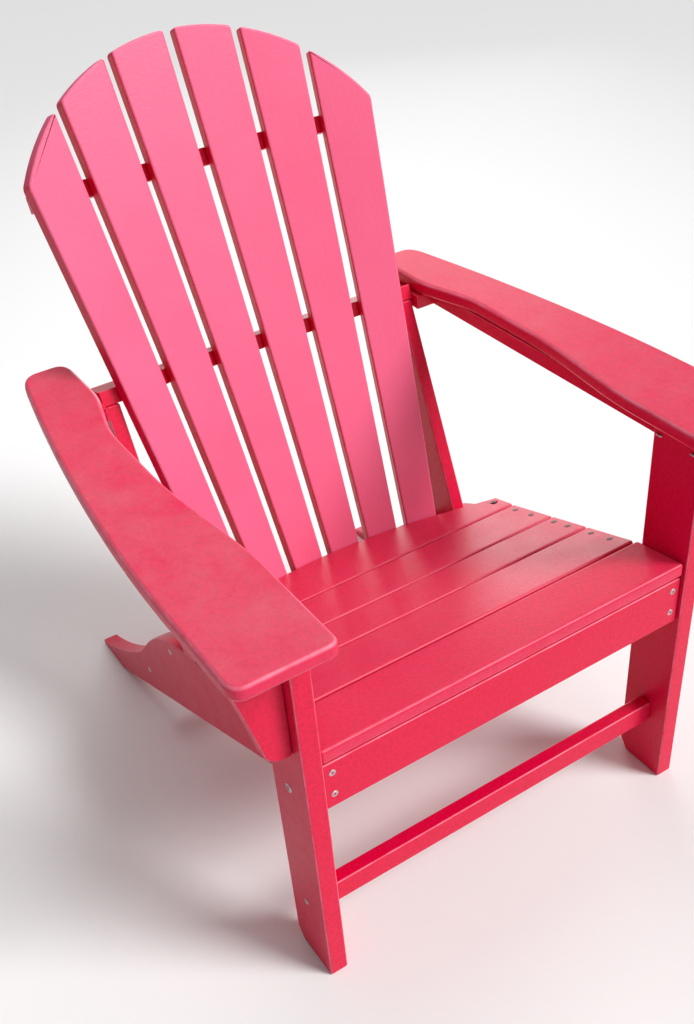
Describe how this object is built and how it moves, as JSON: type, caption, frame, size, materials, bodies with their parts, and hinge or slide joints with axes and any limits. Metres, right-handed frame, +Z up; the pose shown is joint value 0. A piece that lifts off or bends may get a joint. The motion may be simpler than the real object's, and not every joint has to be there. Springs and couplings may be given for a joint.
{
  "type": "adirondack chair",
  "caption": "Low outdoor lounge chair with a sloping slatted seat, a fanned and reclined slat back and wide flat arms.",
  "frame": {"origin": "centre of the chair's footprint box, on the floor", "axes": "+Z up, +Y towards the back of the chair, the sitter faces -Y, +X is the sitter's left"},
  "size_m": [0.74, 0.812, 0.9281],
  "materials": {
    "poly_lumber": "crimson recycled-plastic lumber, finely stippled, satin",
    "hardware": "plain stainless screws and bolts"
  },
  "bodies": {
    "root": {"front_leg_left": "poly_lumber", "front_leg_right": "poly_lumber", "side_stringer_left": "poly_lumber", "side_stringer_right": "poly_lumber", "seat_slat_1": "poly_lumber", "seat_slat_2": "poly_lumber", "seat_slat_3": "poly_lumber", "seat_slat_4": "poly_lumber", "seat_slat_5": "poly_lumber", "front_apron": "poly_lumber", "leg_stretcher": "poly_lumber", "rear_stretcher": "poly_lumber", "arm_left": "poly_lumber", "arm_right": "poly_lumber", "arm_support_left": "poly_lumber", "arm_support_right": "poly_lumber", "arm_bracket_left": "poly_lumber", "arm_bracket_right": "poly_lumber", "back_slat_1": "poly_lumber", "back_slat_2": "poly_lumber", "back_slat_3": "poly_lumber", "back_slat_4": "poly_lumber", "back_slat_5": "poly_lumber", "back_slat_6": "poly_lumber", "upper_back_rail": "poly_lumber", "arm_rail": "poly_lumber", "lower_back_rail": "poly_lumber", "rear_upright_left": "poly_lumber", "rear_upright_right": "poly_lumber", "leg_bolt_left": "hardware", "stretcher_screw_left": "hardware", "rear_stretcher_screw_left": "hardware", "back_rail_screw_left": "hardware", "arm_screw_left_front": "hardware", "arm_screw_left_rear": "hardware", "apron_screw_left_upper": "hardware", "apron_screw_left_lower": "hardware", "seat_screw_4_left_front": "hardware", "seat_screw_4_left_rear": "hardware", "seat_screw_3_left_front": "hardware", "seat_screw_3_left_rear": "hardware", "seat_screw_2_left_front": "hardware", "seat_screw_2_left_rear": "hardware", "seat_screw_1_left": "hardware", "leg_bolt_right": "hardware", "stretcher_screw_right": "hardware", "rear_stretcher_screw_right": "hardware", "back_rail_screw_right": "hardware", "arm_screw_right_front": "hardware", "arm_screw_right_rear": "hardware", "apron_screw_right_upper": "hardware", "apron_screw_right_lower": "hardware", "seat_screw_4_right_front": "hardware", "seat_screw_4_right_rear": "hardware", "seat_screw_3_right_front": "hardware", "seat_screw_3_right_rear": "hardware", "seat_screw_2_right_front": "hardware", "seat_screw_2_right_rear": "hardware", "seat_screw_1_right": "hardware"}
  },
  "joints": []
}
